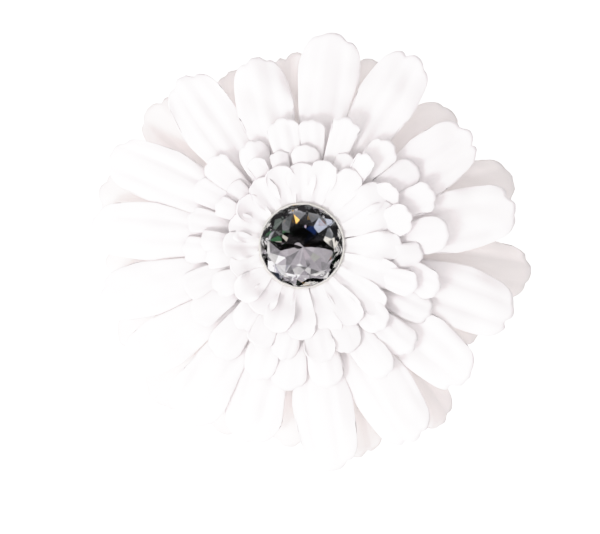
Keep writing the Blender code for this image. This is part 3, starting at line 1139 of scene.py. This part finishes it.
def mirrored_room(tree):
    """Black in front and overhead, mauve grey behind, and paler low down except in front.

    The cards stand in it.
    """
    place = tree.add("ShaderNodeTexCoord").outputs["Generated"]
    apart = tree.add("ShaderNodeSeparateXYZ", {"Vector": place})
    patchy = tree.noise(3.2, 1, 0.5, place)
    share = tree.add("ShaderNodeMapRange", {"Value": patchy, "From Min": 0.35, "From Max": 0.65})
    share = share.outputs["Result"]
    behind = tree.mix(share, (0.25, 0.24, 0.255), (0.66, 0.61, 0.66))
    pale = tree.mix(share, (0.5, 0.49, 0.5), (1.15, 1.12, 1.1))
    turned = tree.math("MULTIPLY", apart.outputs["X"], 0.1)
    depth = tree.math("ADD", apart.outputs["Y"], turned)
    room = tree.mix(tree.math("GREATER_THAN", depth, BACK_FROM), (0.002, 0.002, 0.002), behind)
    gloom = tree.mix(share, (0.08, 0.09, 0.085), (0.45, 0.45, 0.48))
    edge = tree.mix(tree.math("GREATER_THAN", depth, GLOOM_FROM), gloom, pale)
    room = tree.mix(tree.math("LESS_THAN", apart.outputs["Z"], LOW_FROM), room, edge)
    for heading, down, radius, color in CARDS:
        towards = tree.add("ShaderNodeVectorMath", {"Vector": place}, operation="DOT_PRODUCT")
        towards.inputs[1].default_value = toward(heading, down)
        inside = tree.math("GREATER_THAN", towards.outputs["Value"], math.cos(math.radians(radius)))
        room = tree.mix(inside, room, color)
    return room


def slanted(tree):
    """Soft light that grows towards overhead and towards the key's side of the room."""
    place = tree.add("ShaderNodeTexCoord").outputs["Generated"]
    lean = tree.add("ShaderNodeVectorMath", {"Vector": place}, operation="DOT_PRODUCT")
    lean.inputs[1].default_value = toward(KEY_HEADING, 90) * LEAN + Vector((0, 0, OVERHEAD))
    level = tree.math("ADD", lean.outputs["Value"], HORIZON)
    return tree.math("MULTIPLY", level, SOFT_LEVEL)


def build_world():
    """White to the camera, soft light to cloth, and a room to whatever mirrors it."""
    world = bpy.data.worlds.new("studio")
    bpy.context.scene.world = world
    world.use_nodes = True
    world.node_tree.nodes.clear()
    tree = Nodes(world.node_tree)
    path = tree.add("ShaderNodeLightPath")
    seen = tree.add("ShaderNodeBackground", {"Color": (1, 1, 1, 1), "Strength": BRIGHTEST})
    tint = (1.0, 0.978, 0.993, 1)
    soft = tree.add("ShaderNodeBackground", {"Color": tint, "Strength": slanted(tree)})
    room = tree.add("ShaderNodeBackground", {"Color": mirrored_room(tree)})
    first = tree.add("ShaderNodeMixShader", {"Fac": path.outputs["Is Diffuse Ray"]})
    second = tree.add("ShaderNodeMixShader", {"Fac": path.outputs["Is Camera Ray"]})
    tree.links.new(room.outputs[0], first.inputs[1])
    tree.links.new(soft.outputs[0], first.inputs[2])
    tree.links.new(first.outputs[0], second.inputs[1])
    tree.links.new(seen.outputs[0], second.inputs[2])
    out = tree.add("ShaderNodeOutputWorld")
    tree.links.new(second.outputs[0], out.inputs["Surface"])


def build_floor():
    s = Shader("paper floor")
    grain = s.noise(30, 3)
    s.color(s.ramp(grain, [(0.3, (0.80, 0.80, 0.80)), (0.7, (0.82, 0.82, 0.82))]))
    s.constant(Roughness=0.9, Specular_IOR_Level=0.1)
    s.constant(Emission_Color=(1, 1, 1, 1), Emission_Strength=0.7)
    mesh = bpy.data.meshes.new("floor")
    low = FLOOR_LEVEL * MM
    ends = (-FLOOR_REACH, FLOOR_REACH)
    corners = [(x, y, low) for x in ends for y in ends]
    mesh.from_pydata(corners, [], [(0, 2, 3, 1)])
    mesh.materials.append(s.material)
    floor = bpy.data.objects.new("floor", mesh)
    bpy.context.scene.collection.objects.link(floor)


def build_light():
    """One soft key from -X and -Y, near enough that it fades across the flower."""
    data = bpy.data.lights.new("key", "AREA")
    data.size = 0.065
    data.energy = 0.4
    data.color = (0.975, 0.98, 1.0)
    key = bpy.data.objects.new("key", data)
    middle = Vector((0, 0, 0.015))
    key.location = middle + toward(KEY_HEADING, KEY_DOWN) * KEY_AWAY
    aim = middle - key.location
    key.rotation_euler = aim.to_track_quat("-Z", "Y").to_euler()
    key.visible_glossy = False
    key.visible_transmission = False
    key.visible_camera = False
    bpy.context.scene.collection.objects.link(key)


def build_camera():
    """A long lens straight above the flower."""
    data = bpy.data.cameras.new("camera")
    data.lens = 100
    data.clip_start = 0.01
    camera = bpy.data.objects.new("camera", data)
    camera.matrix_world = Matrix.Translation((-0.0004, -0.00483, 0.397))
    bpy.context.scene.collection.objects.link(camera)
    bpy.context.scene.camera = camera


def bounce_more():
    """White cloth hands light on many times in the folds between the layers."""
    bpy.context.scene.cycles.diffuse_bounces = 8


def soften_highlights():
    """A shoulder on the tone curve, so that brightly lit white cloth keeps its folds."""
    settings = bpy.context.scene.view_settings
    settings.view_transform = "Standard"
    settings.look = "None"
    settings.use_curve_mapping = True
    mapping = settings.curve_mapping
    mapping.white_level = (BRIGHTEST,) * 3
    curve = mapping.curves[3]
    for value, shown in ((0.6, 0.6), (0.8, 0.79), (0.92, 0.9), (1.04, 0.955), (1.15, 0.985)):
        curve.points.new(value / BRIGHTEST, shown)
    mapping.update()


# ---------------------------------------------------------------- all together

front_cloth = cloth_finish("petal cloth", (1.0, 1.0, 1.0))
# Painted shade: the back layer is the same cloth drawn darker, for the shade that falls on it between
# the front petals.
back_cloth_painted_shade = cloth_finish("back petal cloth painted shade", (0.88, 0.865, 0.85))
glue = glue_finish()
plastic = plastic_finish()
build_petals(front_cloth, back_cloth_painted_shade)
build_gem(crystal_finish())
build_foil(foil_finish())
build_gem_glue(glue)
nickel = plated_finish("nickel plate", (0.62, 0.61, 0.60), 0.24)
build_top_plate(nickel)
build_jaw(nickel)
build_pin(nickel)
build_spring(plated_finish("spring wire", (0.48, 0.48, 0.48), 0.3))
build_felt(felt_finish())
build_felt_glue(glue)
build_clip_glue(glue)
build_cap(plastic)
finish_peg(plastic)

build_floor()
build_world()
build_light()
build_camera()
bounce_more()
soften_highlights()
